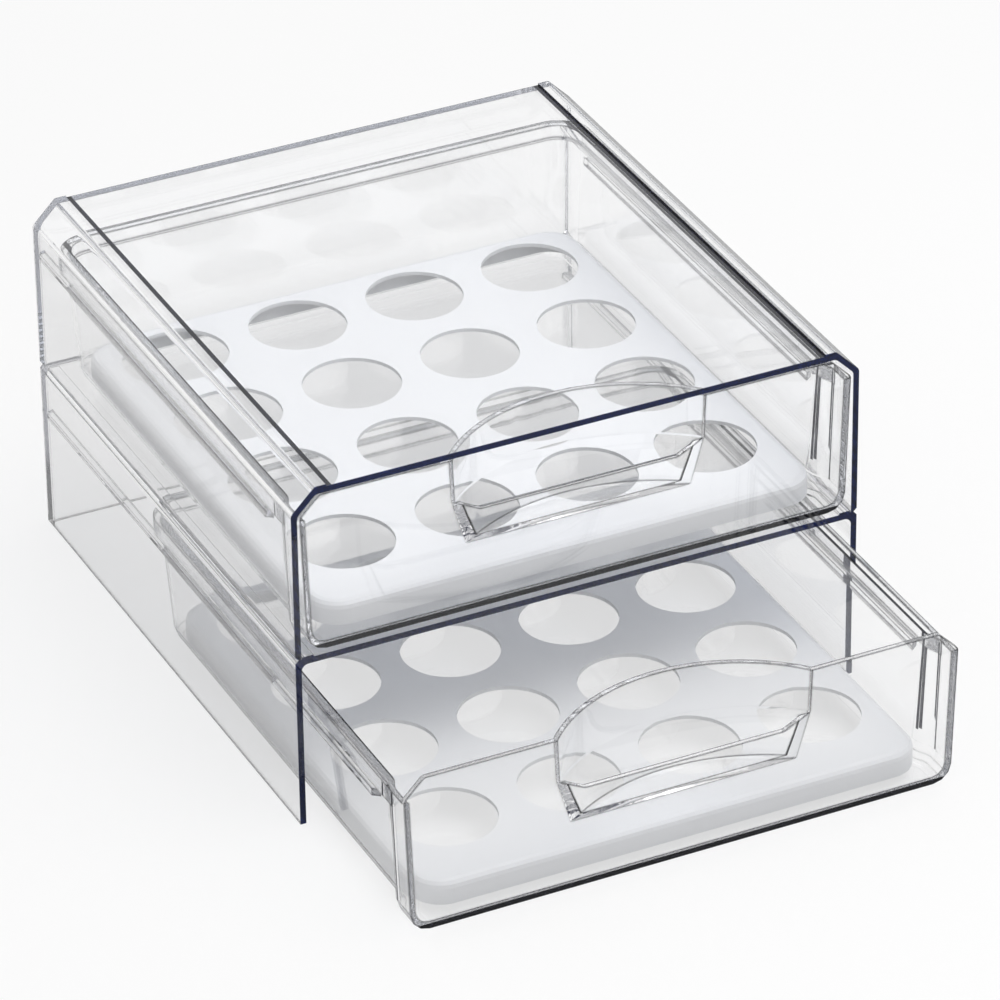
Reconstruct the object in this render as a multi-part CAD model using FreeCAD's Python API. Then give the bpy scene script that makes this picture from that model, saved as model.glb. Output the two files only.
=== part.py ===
import FreeCAD, Part
import math
import os

# A two-tier egg keeper with drawers, in millimetres: X to the right, Y to the back, Z up.
# The origin is the bottom centre of the box around the keeper, with its lower drawer drawn out.
# A tier is a clear housing, a clear drawer that hangs on ledges in it, and a white cup tray in the drawer.

Vector = FreeCAD.Vector

# Housings
WIDTH = 240.0
DEPTH = 250.0
TIER = 74.0               # one tier, from its bottom edge to its top
WALL = 2.4
BEVEL = 10.0              # 45 degree bevel along the top long edges of the upper housing
BEVEL_ROUND = 3.0
SEAM_BEVEL = 1.5          # small bevels that leave a notch between the two housings
BACK_ROUND = 3.0          # inside round between the back wall and the side walls
RIDGE_WIDTH = 4.7         # low ridges on the roofs
RIDGE_HEIGHT = 0.8
RIDGE_GAP = 0.5           # from the lower housing's ridges to the upper housing's walls
LEDGE_DROP = 10.1         # from the foot of the bevel inside down to the ledge
LEDGE_THICK = 2.5
LEDGE_START = 24.0        # behind the front edge
LEDGE_SLANT = 2.0         # length of the ledge's slanted front end

# Drawers
DRAWER_LENGTH = 240.0
DRAWER_WALL = 2.2
DRAWER_LIFT = 2.5         # underside above the bottom edge of its tier
PULLED_OUT = 88.0         # how far the lower drawer is drawn at rest
BODY_DRAFT = 3.5          # degrees, side and back walls
BEZEL_DRAFT = 1.9         # degrees, sides of the wide front
BEZEL_DEPTH = 11.0        # the front keeps its full width for this far
BOTTOM_ROUND = 7.5        # along the lower edges
FLARE_EXTRA = 2.5         # S-curve from the wide front to the body, looser than the bottom round
CORNER_EXTRA = 4.5        # plan radius of the rear corners, over the bottom round
ROUND_STEPS = 3           # flats that make up a rounded edge
RIM_GAP = 1.2             # rim to housing wall
RIM_WIDTH = 4.6
RIM_HEIGHT = 6.8
LEDGE_GAP = 0.6           # ledge to drawer wall
SLIDE_GAP = 0.3           # above and below the ledge
RIB_HEIGHT = 3.2          # keeper rib under the ledge
RIB_INSET = 0.4           # rib's edge inside the rim's edge
RIB_START = 27.0          # behind the front face
RIB_REAR = 18.0           # rib's end before the rear of the rim
RIB_SLANT = 3.0           # length of the rib's slanted ends
TOP_GAP = 0.6             # front panel below the roof
BEVEL_GAP = 1.6           # front panel to the bevel inside
PANEL_ROUND = 2.5         # at the panel's top corners

# Finger pull in the drawer's front
NOTCH_DEPTH = 24.2
NOTCH_SHOULDER = 5.4      # height of the slanted corners of the notch
NOTCH_SLANT = 10.6        # run of the slanted corners, from the pocket's waist in
NOTCH_ROUND = 2.0
POCKET_BELOW = 12.0       # pocket floor below the notch
POCKET_WIDTH = 106.6      # at the panel's top
POCKET_DEPTH = 24.5
WAIST_INSET = 0.7         # each side, at the top of the notch's slanted corners
WAIST_LEAN = 4.0          # how far the pocket's wall has leant forward there
FLOOR_INSET = 6.3         # each side, at the pocket's floor
FLOOR_LEAN = 9.5
POCKET_PROUD = 1.0        # how far the pocket's hollow is cut out in front of the panel

# Cup trays
TRAY_WALL = 1.6
TRAY_HEIGHT = 11.3
TRAY_CORNER = 13.0
TRAY_ROUND = 3.0          # along the top edge
TRAY_FRONT_GAP = 4.8      # tray to the drawer's front panel
TRAY_GAP = 0.4            # tray to the drawer's walls, at the bottom round
SKIRT_LIFT = 1.5          # skirt above the drawer's floor; its edge sits in the drawer's bottom round
CUP_DIAMETER = 40.0
CUP_PITCH = 52.0
CUP_FRONT = 40.5          # first row behind the tray's front edge
CUP_MARGIN = 6.0          # least web between a cup and the tray's edge

# Levels and half-widths that follow from the sizes above; levels are above the bottom edge of a tier
inner_half = WIDTH / 2 - WALL
bevel_sum = WIDTH / 2 + TIER - BEVEL - WALL * math.sqrt(2)    # x + z along the inside of the bevel
bevel_foot = bevel_sum - inner_half
roof_under = TIER - RIDGE_HEIGHT - WALL
ridge_edge = WIDTH / 2 - BEVEL
ledge_top = bevel_foot - LEDGE_DROP

rim_half = inner_half - RIM_GAP
rim_low = ledge_top + SLIDE_GAP
rim_top = rim_low + RIM_HEIGHT
rim_over = RIM_WIDTH - DRAWER_WALL
flare_radius = BOTTOM_ROUND + FLARE_EXTRA
body_corner = BOTTOM_ROUND + CORNER_EXTRA
ledge_half = rim_half - rim_over + LEDGE_GAP
rib_top = ledge_top - LEDGE_THICK - SLIDE_GAP
panel_top = roof_under - TOP_GAP
drawer_floor = DRAWER_LIFT + DRAWER_WALL
notch_low = panel_top - NOTCH_DEPTH
notch_shoulder = notch_low + NOTCH_SHOULDER
pocket_low = notch_low - POCKET_BELOW
waist_half = POCKET_WIDTH / 2 - WAIST_INSET
CLEAR = 5.0               # how far cutters run past the faces that they open


def rounded_wire(corners, place):
    """Closed wire through (u, v, radius) corners, each rounded; place turns u, v into a point."""
    edges = []
    starts = []
    ends = []
    for i, (u, v, radius) in enumerate(corners):
        corner = Vector(u, v, 0)
        before = Vector(*corners[i - 1][:2], 0) - corner
        after = Vector(*corners[(i + 1) % len(corners)][:2], 0) - corner
        before.normalize()
        after.normalize()
        half_angle = before.getAngle(after) / 2
        reach = radius / math.tan(half_angle)
        starts.append(corner + before * reach)
        ends.append(corner + after * reach)
        if radius > 0:
            bisector = (before + after).normalize()
            middle = corner + bisector * (radius / math.sin(half_angle) - radius)
            points = [place(p.x, p.y) for p in (starts[-1], middle, ends[-1])]
            edges.append(Part.Arc(*points).toShape())
    for i in range(len(corners)):
        here = ends[i]
        following = starts[(i + 1) % len(corners)]
        if here.distanceToPoint(following) > 1e-6:
            line = Part.LineSegment(place(here.x, here.y), place(following.x, following.y))
            edges.append(line.toShape())
    return Part.Wire(Part.__sortEdges__(edges))


def along_y(corners, start, end):
    """Solid of an X, Z profile between two Y stations."""
    wire = rounded_wire(corners, lambda x, z: Vector(x, start, z))
    return Part.Face(wire).extrude(Vector(0, end - start, 0))


def along_z(corners, low, high):
    """Solid of an X, Y plan between two levels."""
    wire = rounded_wire(corners, lambda x, y: Vector(x, y, low))
    return Part.Face(wire).extrude(Vector(0, 0, high - low))


def mirrored(corners):
    """Closed profile from the corners of its right half, listed from the bottom up."""
    return corners + [(-u, v, radius) for u, v, radius in reversed(corners)]


def round_steps(radius):
    """(inset, drop) pairs along a quarter round, from the flat face to the wall."""
    angles = [math.pi / 2 * (1 - step / ROUND_STEPS) for step in range(ROUND_STEPS + 1)]
    return [(radius * (1 - math.cos(angle)), radius * (1 - math.sin(angle))) for angle in angles]


def both_sides(shape):
    """The shape and its mirror image across the X = 0 plane."""
    return [shape, shape.mirror(Vector(0, 0, 0), Vector(1, 0, 0))]


# Housings


def housing_walls(outside, inside):
    """Walls between two X, Z profiles, closed at the back, with the ledges that carry the drawer."""
    front = -DEPTH / 2
    back = DEPTH / 2 - WALL
    shell = along_y(outside, front, DEPTH / 2)
    room_plan = mirrored([(inner_half, front - CLEAR, 0), (inner_half, back, BACK_ROUND)])
    hollow = along_y(inside, front - CLEAR, back).common(along_z(room_plan, -CLEAR, TIER))
    ledge_plan = [(inner_half + WALL / 2, front + LEDGE_START, 0),
                  (inner_half + WALL / 2, back + WALL / 2, 0),
                  (ledge_half, back + WALL / 2, 0),
                  (ledge_half, front + LEDGE_START + LEDGE_SLANT, 0),
                  (inner_half, front + LEDGE_START, 0)]
    ledge = along_z(ledge_plan, ledge_top - LEDGE_THICK, ledge_top)
    return shell.cut(hollow).multiFuse(both_sides(ledge)).removeSplitter()


def upper_housing():
    """Bevelled cover of the upper tier, with a ridge beside each bevel."""
    ridge_inner = ridge_edge - RIDGE_WIDTH
    outside = mirrored([(WIDTH / 2 - SEAM_BEVEL, 0, 0),
                        (WIDTH / 2, SEAM_BEVEL, 0),
                        (WIDTH / 2, TIER - BEVEL, BEVEL_ROUND),
                        (ridge_edge, TIER, BEVEL_ROUND / 2),
                        (ridge_inner, TIER, 0),
                        (ridge_inner, TIER - RIDGE_HEIGHT, 0)])
    inside = mirrored([(inner_half, -CLEAR, 0),
                       (inner_half, bevel_foot, BEVEL_ROUND),
                       (bevel_sum - roof_under, roof_under, BEVEL_ROUND)])
    return housing_walls(outside, inside).translated(Vector(0, 0, TIER))


def lower_housing():
    """Square cover of the lower tier, with ridges that keep the upper housing from sliding sideways."""
    outside = mirrored([(WIDTH / 2, 0, 0),
                        (WIDTH / 2, TIER - SEAM_BEVEL, 0),
                        (WIDTH / 2 - SEAM_BEVEL, TIER, 0)])
    inside = mirrored([(inner_half, -CLEAR, 0),
                       (inner_half, TIER - WALL, BEVEL_ROUND)])
    ridge_outer = inner_half - RIDGE_GAP
    ridge_inner = ridge_outer - RIDGE_WIDTH
    ridge_back = DEPTH / 2 - WALL - BACK_ROUND - RIDGE_GAP
    ridge = along_y([(ridge_inner, TIER - WALL / 2, 0),
                     (ridge_outer, TIER - WALL / 2, 0),
                     (ridge_outer, TIER + RIDGE_HEIGHT, 0),
                     (ridge_inner, TIER + RIDGE_HEIGHT, 0)], -DEPTH / 2, ridge_back)
    return housing_walls(outside, inside).multiFuse(both_sides(ridge)).removeSplitter()


# Drawers, built with the front face at Y = 0


def bezel_half(level):
    return rim_half - (rim_top - level) * math.tan(math.radians(BEZEL_DRAFT))


def body_shrink(level):
    """How far the drafted body walls stand inside the rim's edge at a level."""
    return rim_over + (rim_top - level) * math.tan(math.radians(BODY_DRAFT))


def tub_plan(level, inset, front):
    """Plan of the drawer's walls at a level: a wide front that draws in through an S-curve to the body."""
    wide = bezel_half(level) - inset
    narrow = rim_half - body_shrink(level) - inset
    rear = DRAWER_LENGTH - body_shrink(level) - inset
    corner = body_corner - inset
    outward = flare_radius - inset
    inward = flare_radius + inset
    turn = math.acos(1 - (wide - narrow) / (outward + inward))
    middle = (wide - outward * (1 - math.cos(turn)), BEZEL_DEPTH + outward * math.sin(turn))
    flare_end = BEZEL_DEPTH + (outward + inward) * math.sin(turn)

    def half_side(side):
        def point(x, y):
            return Vector(side * x, y, level)

        out_arc = point(wide - outward * (1 - math.cos(turn / 2)), BEZEL_DEPTH + outward * math.sin(turn / 2))
        in_arc = point(narrow + inward * (1 - math.cos(turn / 2)), flare_end - inward * math.sin(turn / 2))
        corner_middle = point(narrow - corner * (1 - math.sqrt(0.5)), rear - corner * (1 - math.sqrt(0.5)))
        return [Part.LineSegment(point(wide, front), point(wide, BEZEL_DEPTH)),
                Part.Arc(point(wide, BEZEL_DEPTH), out_arc, point(*middle)),
                Part.Arc(point(*middle), in_arc, point(narrow, flare_end)),
                Part.LineSegment(point(narrow, flare_end), point(narrow, rear - corner)),
                Part.Arc(point(narrow, rear - corner), corner_middle, point(narrow - corner, rear))]

    across_front = Part.LineSegment(Vector(-wide, front, level), Vector(wide, front, level))
    across_rear = Part.LineSegment(Vector(narrow - corner, rear, level), Vector(corner - narrow, rear, level))
    curves = [across_front] + half_side(1) + [across_rear] + half_side(-1)[::-1]
    return Part.Wire(Part.__sortEdges__([curve.toShape() for curve in curves]))


def tub(low, high, inset, bottom_round):
    """Drafted block of the drawer's plan, with its lower edges rounded except along the front."""
    plans = [tub_plan(low + drop, inset + step_in, inset) for step_in, drop in round_steps(bottom_round)]
    return Part.makeLoft(plans + [tub_plan(high, inset, inset)], True, True)


def drawer_hollow():
    return tub(drawer_floor, rim_top + CLEAR, DRAWER_WALL, BOTTOM_ROUND - DRAWER_WALL)


def drawer_rim():
    """Band that stands out round the top of the body; it slides on the ledges."""
    corner = body_corner + rim_over
    plan = mirrored([(rim_half, BEZEL_DEPTH, 0),
                     (rim_half, DRAWER_LENGTH, corner)])
    return along_z(plan, rim_low, rim_top)


def keeper_ribs():
    """Ribs that run under the ledges, so that the drawer can't tip when it is drawn out."""
    half = rim_half - RIB_INSET
    rear = DRAWER_LENGTH - RIB_REAR
    root = rim_half - body_shrink(rib_top - RIB_HEIGHT) - DRAWER_WALL / 2
    plan = [(root, RIB_START, 0), (half, RIB_START + RIB_SLANT, 0),
            (half, rear - RIB_SLANT, 0), (root, rear, 0)]
    return both_sides(along_z(plan, rib_top - RIB_HEIGHT, rib_top))


def front_panel():
    """Upper part of the front, which rises above the rim and has bevelled top corners."""
    slope = math.tan(math.radians(BEZEL_DRAFT))
    corner_sum = bevel_sum - BEVEL_GAP * math.sqrt(2)
    corner_low = (corner_sum - rim_half + rim_top * slope) / (1 + slope)
    outline = mirrored([(bezel_half(rim_low), rim_low, 0),
                        (bezel_half(corner_low), corner_low, PANEL_ROUND),
                        (corner_sum - panel_top, panel_top, PANEL_ROUND)])
    return along_y(outline, 0, DRAWER_WALL)


def pocket_plan(inset, lean, level, wall, front):
    """Segment of a circle, drawn in from the pocket's top, then grown by a wall and cut off in front."""
    depth = POCKET_DEPTH - lean
    radius = ((POCKET_WIDTH / 2 - inset) ** 2 + depth ** 2) / (2 * depth)
    centre = depth - radius
    radius += wall
    half = math.sqrt(radius ** 2 - (front - centre) ** 2)
    left = Vector(-half, front, level)
    right = Vector(half, front, level)
    arc = Part.Arc(left, Vector(0, centre + radius, level), right)
    return Part.Wire([arc.toShape(), Part.LineSegment(right, left).toShape()])


def pocket(wall, low, front):
    """Finger pocket: a circular wall that leans out from the floor to the panel's top, in two stages."""
    return Part.makeLoft([pocket_plan(FLOOR_INSET, FLOOR_LEAN, low, wall, front),
                          pocket_plan(WAIST_INSET, WAIST_LEAN, notch_shoulder, wall, front),
                          pocket_plan(0, 0, panel_top, wall, front)], True, True)


def pocket_hollow():
    """Room for the fingers, open above; the lower front of the pocket stays, as the lip to pull on."""
    mouth = pocket_plan(0, 0, panel_top, 0, -POCKET_PROUD)
    open_top = Part.Face(mouth).extrude(Vector(0, 0, CLEAR))
    beyond = POCKET_WIDTH / 2 + CLEAR
    lip = along_y(mirrored([(beyond, pocket_low - CLEAR, 0),
                            (beyond, notch_shoulder, 0),
                            (waist_half, notch_shoulder, 0),
                            (waist_half - NOTCH_SLANT, notch_low, NOTCH_ROUND)]), -CLEAR, DRAWER_WALL)
    return pocket(0, pocket_low, -POCKET_PROUD).fuse(open_top).cut(lip)


def drawer():
    outer = tub(DRAWER_LIFT, rim_top, 0, BOTTOM_ROUND)
    walls = outer.multiFuse([drawer_rim()] + keeper_ribs()).cut(drawer_hollow())
    front = front_panel().fuse(pocket(DRAWER_WALL, pocket_low - DRAWER_WALL, 0))
    return walls.fuse(front).cut(pocket_hollow()).removeSplitter()


# Cup trays, in the drawer's place


def bottom_round_reach(height):
    """How far the drawer's inside bottom round stands out from the wall at a height above the floor."""
    radius = BOTTOM_ROUND - DRAWER_WALL
    return radius - math.sqrt(radius ** 2 - max(radius - height, 0) ** 2)


def tray():
    """Inverted shallow shell with a grid of round cups through its top."""
    skirt_low = drawer_floor + SKIRT_LIFT
    top = drawer_floor + TRAY_HEIGHT
    inset = body_shrink(drawer_floor) + DRAWER_WALL + bottom_round_reach(SKIRT_LIFT) + TRAY_GAP
    half = rim_half - inset
    front = DRAWER_WALL + TRAY_FRONT_GAP
    rear = DRAWER_LENGTH - inset

    def plan(shrink, level):
        corner = TRAY_CORNER - shrink
        corners = mirrored([(half - shrink, front + shrink, corner), (half - shrink, rear - shrink, corner)])
        return rounded_wire(corners, lambda x, y: Vector(x, y, level))

    rounds = [plan(step_in, top - drop) for step_in, drop in round_steps(TRAY_ROUND)]
    block = Part.makeLoft(rounds + [plan(0, skirt_low)], True, True)
    hollow_low = skirt_low - CLEAR
    hollow = Part.Face(plan(TRAY_WALL, hollow_low)).extrude(Vector(0, 0, top - TRAY_WALL - hollow_low))

    radius = CUP_DIAMETER / 2
    cup = Part.makeCylinder(radius, TRAY_HEIGHT, Vector(0, 0, drawer_floor))
    columns = int((2 * (half - CUP_MARGIN) - CUP_DIAMETER) / CUP_PITCH) + 1
    rows = int((rear - front - CUP_FRONT - radius - CUP_MARGIN) / CUP_PITCH) + 1
    places = [Vector((column - (columns - 1) / 2) * CUP_PITCH, front + CUP_FRONT + row * CUP_PITCH, 0)
              for row in range(rows) for column in range(columns)]
    return block.cut([hollow] + [cup.translated(place) for place in places]).removeSplitter()


drawer_shape = drawer()
tray_shape = tray()
housing_shift = Vector(0, PULLED_OUT / 2, 0)
closed = housing_shift + Vector(0, -DEPTH / 2, TIER)
drawn = housing_shift + Vector(0, -DEPTH / 2 - PULLED_OUT, 0)
nodes = {
    "upper_housing": upper_housing().translated(housing_shift),
    "lower_housing": lower_housing().translated(housing_shift),
    "upper_drawer": drawer_shape.translated(closed),
    "lower_drawer": drawer_shape.translated(drawn),
    "upper_tray": tray_shape.translated(closed),
    "lower_tray": tray_shape.translated(drawn),
}

os.makedirs("parts", exist_ok=True)
for node, shape in nodes.items():
    solid = shape.Solids[0]
    print(node, len(shape.Solids), solid.isValid(), round(solid.Volume / 1000, 2), "cm3")
    solid.exportStep(f"parts/{node}.step")
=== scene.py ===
import math

import bpy
from mathutils import Matrix, Vector


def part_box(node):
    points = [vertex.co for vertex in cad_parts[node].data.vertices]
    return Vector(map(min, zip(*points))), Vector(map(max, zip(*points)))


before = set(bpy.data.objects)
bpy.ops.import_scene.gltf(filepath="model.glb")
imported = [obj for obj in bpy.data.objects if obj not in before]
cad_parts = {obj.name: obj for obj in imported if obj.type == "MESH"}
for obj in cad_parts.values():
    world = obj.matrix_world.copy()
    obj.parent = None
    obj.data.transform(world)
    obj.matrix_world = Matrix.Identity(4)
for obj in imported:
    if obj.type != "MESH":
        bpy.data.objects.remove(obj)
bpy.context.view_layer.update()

# Camera
# A long lens looks down on the keeper from the left of the drawers' fronts, so that its upright edges
# stay nearly parallel. The aim is set off from the middle of the housings' footprint.

MM = 0.001
AZIMUTH = math.radians(-25.5)       # left of the drawers' fronts
ELEVATION = math.radians(31.335)
ROLL = math.radians(-0.766)
DISTANCE = 2752.9 * MM
AIM_SIDE = 22.8 * MM
AIM_UP = 37.8 * MM
FOCAL_LENGTH = 246.1                # mm, on a 36 mm frame
FRAME_WIDTH = 36
FARTHEST = 50                       # m

scene = bpy.context.scene
scene.view_settings.view_transform = "Standard"

housing_low, housing_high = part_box("upper_housing")
footprint_middle = Vector(((housing_low[0] + housing_high[0]) / 2,
                           (housing_low[1] + housing_high[1]) / 2, 0))

back = Vector((math.sin(AZIMUTH) * math.cos(ELEVATION), -math.cos(AZIMUTH) * math.cos(ELEVATION),
               math.sin(ELEVATION)))
level_right = (-back).cross(Vector((0, 0, 1))).normalized()
level_up = level_right.cross(-back)
right = level_right * math.cos(ROLL) + level_up * math.sin(ROLL)
up = level_up * math.cos(ROLL) - level_right * math.sin(ROLL)

camera_data = bpy.data.cameras.new("camera")
camera_data.lens = FOCAL_LENGTH
camera_data.sensor_width = FRAME_WIDTH
camera_data.clip_end = FARTHEST
camera = bpy.data.objects.new("camera", camera_data)
camera.matrix_world = Matrix((right, up, back)).transposed().to_4x4()
camera.matrix_world.translation = footprint_middle + right * AIM_SIDE + up * AIM_UP + back * DISTANCE
scene.collection.objects.link(camera)
scene.camera = camera

# Table
# The keeper stands on a white laminate table that runs on to a white backdrop. What is seen of it, straight
# or through clear plastic, is mostly plain white, and the rest keeps the keeper's soft shadow.

FLOOR_SIZE = 60.0                   # m
TABLE = "#f4f4f4"
TABLE_WHITE = 0.7                   # share of plain white in the table as it is seen
MIRRORED_TABLE = 0.1                # how bright that share is in what the plastic mirrors


def linear(hex_colour):
    """sRGB hex to linear RGBA."""
    channels = [int(hex_colour[i:i + 2], 16) / 255 for i in (1, 3, 5)]
    return [c / 12.92 if c <= 0.04045 else ((c + 0.055) / 1.055) ** 2.4 for c in channels] + [1.0]


def add_node(tree, kind, settings=None, **inputs):
    """Adds a shader node, sets its properties, and sets or links its inputs by name or number."""
    node = tree.nodes.new(kind)
    for name, value in (settings or {}).items():
        setattr(node, name, value)
    for name, value in inputs.items():
        socket = node.inputs[int(name[1:]) if name[0] == "_" else name.replace("_", " ")]
        if isinstance(value, bpy.types.NodeSocket):
            tree.links.new(value, socket)
        else:
            socket.default_value = value
    return node


def new_material(name):
    """A material with an empty node tree."""
    material = bpy.data.materials.new(name)
    material.use_nodes = True
    material.node_tree.nodes.clear()
    return material


def shows_as_backdrop(tree, path):
    """1 for rays that see the backdrop, straight or in clear plastic; 0 for those that carry its light."""
    either = add_node(tree, "ShaderNodeMath", {"operation": "MAXIMUM"},
                      _0=path.outputs["Is Camera Ray"], _1=path.outputs["Is Glossy Ray"])
    return add_node(tree, "ShaderNodeMath", {"operation": "MAXIMUM"},
                    _0=either.outputs[0], _1=path.outputs["Is Transmission Ray"]).outputs[0]


# White laminate: an even matt white with no pattern of its own.
table_laminate = new_material("table_laminate")
tree = table_laminate.node_tree
path = add_node(tree, "ShaderNodeLightPath")
matt = add_node(tree, "ShaderNodeBsdfDiffuse", Color=linear(TABLE))
brightness = add_node(tree, "ShaderNodeMapRange", Value=path.outputs["Is Reflection Ray"],
                      To_Min=1.0, To_Max=MIRRORED_TABLE)
white = add_node(tree, "ShaderNodeEmission", Strength=brightness.outputs[0])
share = add_node(tree, "ShaderNodeMath", {"operation": "MULTIPLY"},
                 _0=shows_as_backdrop(tree, path), _1=TABLE_WHITE)
mix = add_node(tree, "ShaderNodeMixShader", _0=share.outputs[0], _1=matt.outputs[0], _2=white.outputs[0])
add_node(tree, "ShaderNodeOutputMaterial", Surface=mix.outputs[0])

half = FLOOR_SIZE / 2
floor_mesh = bpy.data.meshes.new("floor")
floor_mesh.from_pydata([(-half, -half, 0), (half, -half, 0), (half, half, 0), (-half, half, 0)],
                       [], [(0, 1, 2, 3)])
floor_mesh.materials.append(table_laminate)
floor = bpy.data.objects.new("floor", floor_mesh)
scene.collection.objects.link(floor)

# Room
# A white room with one large soft light overhead. Dark cards stand beside and in front of the table, where
# only clear plastic shows them: they draw its edges. The ceiling and the backdrop are white.

ROOM_LIGHT = 0.7
WHITE = (1, 1, 1, 1)
DARK_CARDS = "#161a38"
WHITE_CARDS = "#e7e7e7"
MIRRORED_ROOM = "#eceef0"           # what flat faces mirror
CEILING = (0.6, 0.85)               # from the cards to the ceiling: upward part of a ray's direction
BACKDROP = (0.5, 0.8)               # from the cards to the backdrop: its backward part
SOFTBOX_SIZE = (1.4, 1.0)           # m
SOFTBOX_PLACE = (0.4, -0.35, 1.3)   # m
SOFTBOX_POWER = 9                   # W

world = bpy.data.worlds.new("studio")
world.use_nodes = True
scene.world = world
tree = world.node_tree
tree.nodes.clear()
path = add_node(tree, "ShaderNodeLightPath")
place = add_node(tree, "ShaderNodeTexCoord")
direction = add_node(tree, "ShaderNodeSeparateXYZ", Vector=place.outputs["Generated"])
ceiling = add_node(tree, "ShaderNodeMapRange", Value=direction.outputs["Z"],
                   From_Min=CEILING[0], From_Max=CEILING[1])
backdrop = add_node(tree, "ShaderNodeMapRange", Value=direction.outputs["Y"],
                    From_Min=BACKDROP[0], From_Max=BACKDROP[1])
pale = add_node(tree, "ShaderNodeMath", {"operation": "MAXIMUM"},
                _0=ceiling.outputs[0], _1=backdrop.outputs[0])
cards = add_node(tree, "ShaderNodeMix", {"data_type": "RGBA"}, Factor=pale.outputs[0],
                 _6=linear(DARK_CARDS), _7=linear(WHITE_CARDS))
mirrored = add_node(tree, "ShaderNodeMix", {"data_type": "RGBA"},
                    Factor=path.outputs["Is Reflection Ray"],
                    _6=cards.outputs[2], _7=linear(MIRRORED_ROOM))
surround = add_node(tree, "ShaderNodeBackground", Color=mirrored.outputs[2], Strength=1.0)
room = add_node(tree, "ShaderNodeBackground", Color=WHITE, Strength=ROOM_LIGHT)
seen = add_node(tree, "ShaderNodeBackground", Color=WHITE, Strength=1.0)
lights_a_piece = add_node(tree, "ShaderNodeMath", {"operation": "GREATER_THAN"},
                          _0=path.outputs["Diffuse Depth"], _1=0)
in_plastic = add_node(tree, "ShaderNodeMath", {"operation": "SUBTRACT", "use_clamp": True},
                      _0=shows_as_backdrop(tree, path), _1=lights_a_piece.outputs[0])
around = add_node(tree, "ShaderNodeMixShader", _0=in_plastic.outputs[0], _1=room.outputs[0],
                  _2=surround.outputs[0])
mix = add_node(tree, "ShaderNodeMixShader", _0=path.outputs["Is Camera Ray"], _1=around.outputs[0],
               _2=seen.outputs[0])
add_node(tree, "ShaderNodeOutputWorld", Surface=mix.outputs[0])

softbox_data = bpy.data.lights.new("softbox", "AREA")
softbox_data.shape = "RECTANGLE"
softbox_data.size, softbox_data.size_y = SOFTBOX_SIZE
softbox_data.energy = SOFTBOX_POWER
softbox = bpy.data.objects.new("softbox", softbox_data)
softbox.location = SOFTBOX_PLACE
softbox.rotation_euler = (Vector(SOFTBOX_PLACE) - footprint_middle).to_track_quat("Z", "Y").to_euler()
scene.collection.objects.link(softbox)

# Housings
# The two covers are injection-moulded clear PET, 2.4 mm thick, and stand one on the other, wall on wall.
# Each is moulded in one with the low ridges on its roof and the ledges inside that carry the drawer.

CLEAR_IOR = 1.575                   # PET
EDGE_BLUE = "#9aa0c8"               # what is left of white after one absorption length
# Painted shade: the dark lines along the clear edges and the dark strips, where the plastic would show dark
# surroundings.
PAINTED_EDGE_SHADE = "#010103"
# Painted shade on the housings' front end faces.
FRONT_SHADE_NAVY = "#010320"
SHADOW_TINT = "#f6f7f9"             # what one surface lets through of the light on the pieces below
HAZE_PATCH = 16.7 * MM              # cloudy patches left by the mould's polish
HAZE_DETAIL = 3.0
HAZE_SPREAD = (0.3, 0.7)            # noise value of the clearest patch and of the haziest
POLISH = (0.0, 0.02)                # roughness of those two
LEAK_AFTER = 16                     # faces met in the walls, after which light scatters and leaks out
LEAK_ROUGHNESS = 0.3
EDGE_SAMPLES = 4
EDGE_TURN = (0.99, 0.93)            # cosine of the turn near an edge, where its line starts and is full
HOUSING_ABSORPTION = 2.0            # per metre
HOUSING_EDGE = 0.6 * MM             # width of the painted dark line along an edge
FRONT_SKIN = 0.3 * MM               # depth of the painted navy shade on the front end faces
RIDGE_FOOT = (103.0 * MM, 105.4 * MM)    # inner foot of a ridge, from the middle
RIDGE_RISE = 1.5 * MM               # below the ridges' tops, down to just under the roof
FAR = 1.0                           # m, past every face


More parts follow.
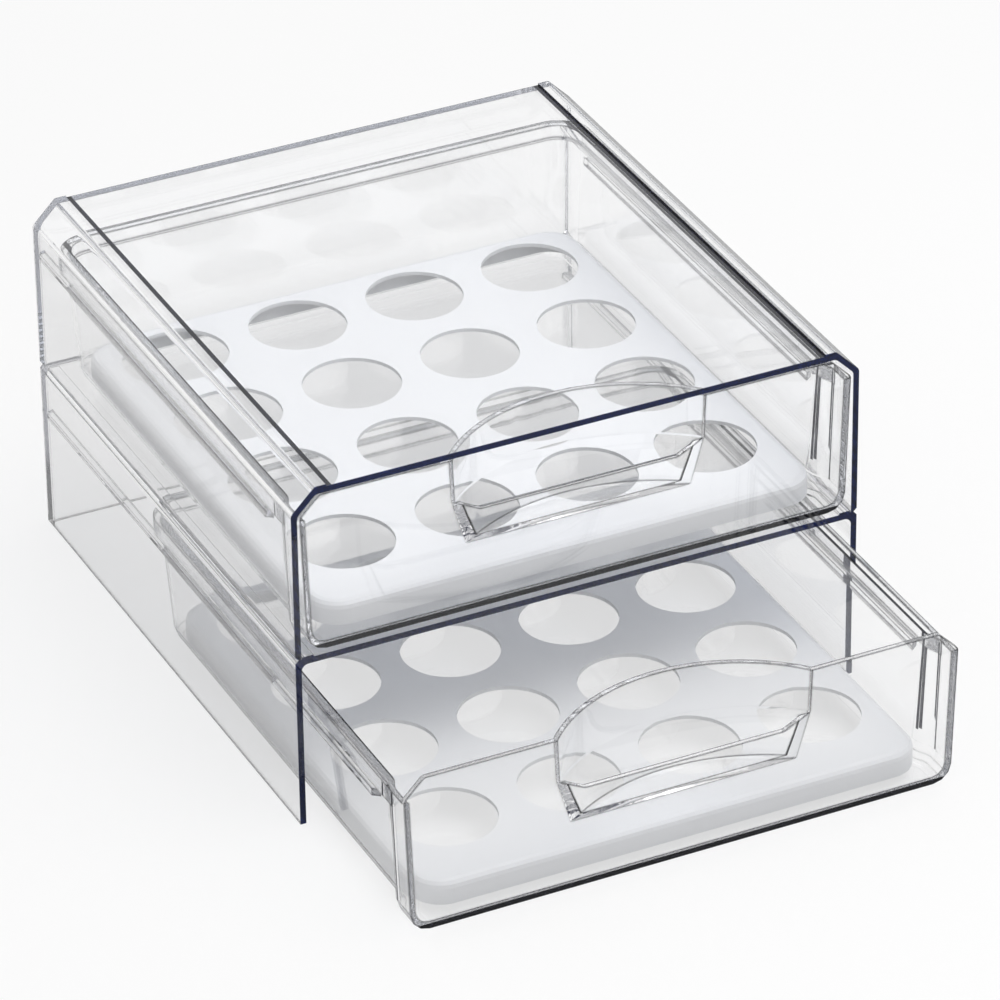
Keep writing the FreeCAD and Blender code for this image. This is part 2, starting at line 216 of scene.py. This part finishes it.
def clear_plastic(name, absorption, edge_width, strips):
    """Clear PET with a painted dark line along its edges, painted shade for the dark surroundings that the
    edges refract, and a strip of painted shade for each of strips, which gives a colour and the strip's
    ranges of distance from the middle, of Y and of Z."""
    material = new_material(name)
    tree = material.node_tree
    place = add_node(tree, "ShaderNodeTexCoord")
    haze = add_node(tree, "ShaderNodeTexNoise", Vector=place.outputs["Object"], Scale=1 / HAZE_PATCH,
                    Detail=HAZE_DETAIL)
    gloss = add_node(tree, "ShaderNodeMapRange", Value=haze.outputs[0], From_Min=HAZE_SPREAD[0],
                     From_Max=HAZE_SPREAD[1], To_Min=POLISH[0], To_Max=POLISH[1])
    path = add_node(tree, "ShaderNodeLightPath")
    leaks = add_node(tree, "ShaderNodeMath", {"operation": "GREATER_THAN"},
                     _0=path.outputs["Ray Depth"], _1=LEAK_AFTER)
    scatter = add_node(tree, "ShaderNodeMath", {"operation": "MULTIPLY"},
                       _0=leaks.outputs[0], _1=LEAK_ROUGHNESS)
    roughness = add_node(tree, "ShaderNodeMath", {"operation": "MAXIMUM"},
                         _0=gloss.outputs[0], _1=scatter.outputs[0])
    rounded = add_node(tree, "ShaderNodeBevel", {"samples": EDGE_SAMPLES}, Radius=edge_width)
    flat = add_node(tree, "ShaderNodeNewGeometry")
    turn = add_node(tree, "ShaderNodeVectorMath", {"operation": "DOT_PRODUCT"},
                    _0=rounded.outputs[0], _1=flat.outputs["Normal"])
    edge = add_node(tree, "ShaderNodeMapRange", Value=turn.outputs["Value"],
                    From_Min=EDGE_TURN[0], From_Max=EDGE_TURN[1])
    colour = add_node(tree, "ShaderNodeMix", {"data_type": "RGBA"}, Factor=edge.outputs[0],
                      _6=WHITE, _7=linear(PAINTED_EDGE_SHADE))
    axes = add_node(tree, "ShaderNodeSeparateXYZ", Vector=place.outputs["Object"])
    from_middle = add_node(tree, "ShaderNodeMath", {"operation": "ABSOLUTE"}, _0=axes.outputs["X"])
    values = from_middle.outputs[0], axes.outputs["Y"], axes.outputs["Z"]
    for strip_colour, *ranges in strips:
        share = 1.0
        for value, (low, high) in zip(values, ranges):
            within = add_node(tree, "ShaderNodeMath", {"operation": "COMPARE"},
                              _0=value, _1=(low + high) / 2, _2=(high - low) / 2)
            share = add_node(tree, "ShaderNodeMath", {"operation": "MULTIPLY"},
                             _0=share, _1=within.outputs[0]).outputs[0]
        colour = add_node(tree, "ShaderNodeMix", {"data_type": "RGBA"}, Factor=share,
                          _6=colour.outputs[2], _7=linear(strip_colour))
    body = add_node(tree, "ShaderNodeBsdfPrincipled", Base_Color=colour.outputs[2],
                    Roughness=roughness.outputs[0], IOR=CLEAR_IOR, Transmission_Weight=1.0)
    inside = add_node(tree, "ShaderNodeVolumeAbsorption", Color=linear(EDGE_BLUE), Density=absorption)
    see_through = add_node(tree, "ShaderNodeBsdfTransparent", Color=linear(SHADOW_TINT))
    surface = add_node(tree, "ShaderNodeMixShader", _0=path.outputs["Is Shadow Ray"],
                       _1=body.outputs[0], _2=see_through.outputs[0])
    add_node(tree, "ShaderNodeOutputMaterial", Surface=surface.outputs[0], Volume=inside.outputs[0])
    return material


# Polished clear PET: nearly colourless sheets, with painted dark lines where the edges turn the light away,
# and a strip of painted shade at the inner foot of each ridge. The front end faces, which light reaches
# along the whole depth of the walls, are painted dark navy, as painted shade.
painted_front_shade = (FRONT_SHADE_NAVY, (0, FAR), (housing_low[1] - FAR, housing_low[1] + FRONT_SKIN), (-FAR, FAR))
painted_ridge_shade = (PAINTED_EDGE_SHADE, RIDGE_FOOT, (housing_low[1], FAR), (housing_high[2] - RIDGE_RISE, FAR))
housing_pet = clear_plastic("housing_pet", HOUSING_ABSORPTION, HOUSING_EDGE, (painted_ridge_shade, painted_front_shade))
for node in ("upper_housing", "lower_housing"):
    bpy.data.objects[node].material_slots[0].material = housing_pet

# Drawers
# Each drawer is one moulding of the same clear PET, and hangs by its turned-down rim on the housing's
# ledges. Its wide front narrows to the body in an S-curve, and a curved finger pocket stands behind the
# notch in the front.

# Painted shade along the lower edge of the drawer's front.
SILL_SHADE_BLACK = "#010102"
DRAWER_ABSORPTION = 0.4             # per metre
DRAWER_EDGE = 1.2 * MM
SILL_HEIGHT = 2.3 * MM              # lower edge of the front panel, up to which the sill's shade is painted
PANEL_SKIN = 8.0 * MM               # the front panel and what is cut in it stay clear of the rim's painted line
RIM_DROP = 10.2 * MM                # from the panel's top to the rim's
RIM_FOOT = (110.0 * MM, 112.4 * MM)      # inner edge of the rim, from the middle
RIM_SKIN = 0.7 * MM
TURN_SIDE = 105.0 * MM              # the side walls lie outside this
TURN_PLACE = (18.6 * MM, 20.0 * MM)      # end of the S-curve, behind the front face
TURN_FOOT = 14.0 * MM               # above the drawer's underside
FRONT_SIDE = 113.0 * MM             # the sides of the wide front lie outside this
FRONT_BACK = (11.0 * MM, 12.0 * MM)      # where the wide front ends, behind the front face
FRONT_FOOT = 8.0 * MM

# The same PET, with wider painted dark lines along its edges, and strips of painted shade at the rim, at
# both ends of the S-curve and at the sill.
for node in ("upper_drawer", "lower_drawer"):
    drawer_low, drawer_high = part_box(node)
    face = drawer_low[1]
    rim_top = drawer_high[2] - RIM_DROP
    painted_rim_shade = (PAINTED_EDGE_SHADE, RIM_FOOT, (face + PANEL_SKIN, FAR), (rim_top - RIM_SKIN, rim_top + RIM_SKIN))
    painted_turn_shade = (PAINTED_EDGE_SHADE, (TURN_SIDE, FAR), (face + TURN_PLACE[0], face + TURN_PLACE[1]),
                  (drawer_low[2] + TURN_FOOT, rim_top - RIM_SKIN))
    painted_front_back_shade = (PAINTED_EDGE_SHADE, (FRONT_SIDE, FAR), (face + FRONT_BACK[0], face + FRONT_BACK[1]),
                   (drawer_low[2] + FRONT_FOOT, rim_top - RIM_SKIN))
    painted_sill_shade = (SILL_SHADE_BLACK, (0, FAR), (face - FAR, face + FRONT_SKIN), (-FAR, drawer_low[2] + SILL_HEIGHT))
    drawer_pet = clear_plastic(node + "_pet", DRAWER_ABSORPTION, DRAWER_EDGE,
                               (painted_rim_shade, painted_turn_shade, painted_front_back_shade, painted_sill_shade))
    bpy.data.objects[node].material_slots[0].material = drawer_pet

# Cup trays
# Each tray is one moulding of white polypropylene, 1.6 mm thick, with four rows of four cups. It lies loose
# in the drawer, its skirt seated in the round along the drawer's floor.

TRAY_WHITE = "#f3f4f6"
TRAY_IOR = 1.49                     # polypropylene
TRAY_GRAIN = 0.4 * MM               # spark-eroded mould grain, drawn coarser than the real 0.1 mm to show
GRAIN_DETAIL = 2.0
GRAIN_DEPTH = 0.2 * MM
GRAIN_STRENGTH = 0.05
TRAY_SATIN = (0.38, 0.5)            # roughness

# Satin polypropylene: an even milky white with a soft, slightly uneven shine.
tray_polypropylene = new_material("tray_polypropylene")
tree = tray_polypropylene.node_tree
place = add_node(tree, "ShaderNodeTexCoord")
grain = add_node(tree, "ShaderNodeTexNoise", Vector=place.outputs["Object"], Scale=1 / TRAY_GRAIN,
                 Detail=GRAIN_DETAIL)
bump = add_node(tree, "ShaderNodeBump", Strength=GRAIN_STRENGTH, Distance=GRAIN_DEPTH,
                Height=grain.outputs[0])
satin = add_node(tree, "ShaderNodeMapRange", Value=grain.outputs[0],
                 To_Min=TRAY_SATIN[0], To_Max=TRAY_SATIN[1])
body = add_node(tree, "ShaderNodeBsdfPrincipled", Base_Color=linear(TRAY_WHITE),
                Roughness=satin.outputs[0], IOR=TRAY_IOR, Normal=bump.outputs[0])
add_node(tree, "ShaderNodeOutputMaterial", Surface=body.outputs[0])
for node in ("upper_tray", "lower_tray"):
    bpy.data.objects[node].material_slots[0].material = tray_polypropylene

# Light through the walls
# Light runs along inside the clear walls and turns at their faces many times before it comes out at an
# edge, and fewer turns than this would leave the edges black.

WALL_TURNS = 48
SHEETS = 32                         # clear faces that a shadow may pass
MATT_TURNS = 2

scene.cycles.max_bounces = WALL_TURNS
scene.cycles.transmission_bounces = WALL_TURNS
scene.cycles.glossy_bounces = WALL_TURNS
scene.cycles.transparent_max_bounces = SHEETS
scene.cycles.diffuse_bounces = MATT_TURNS
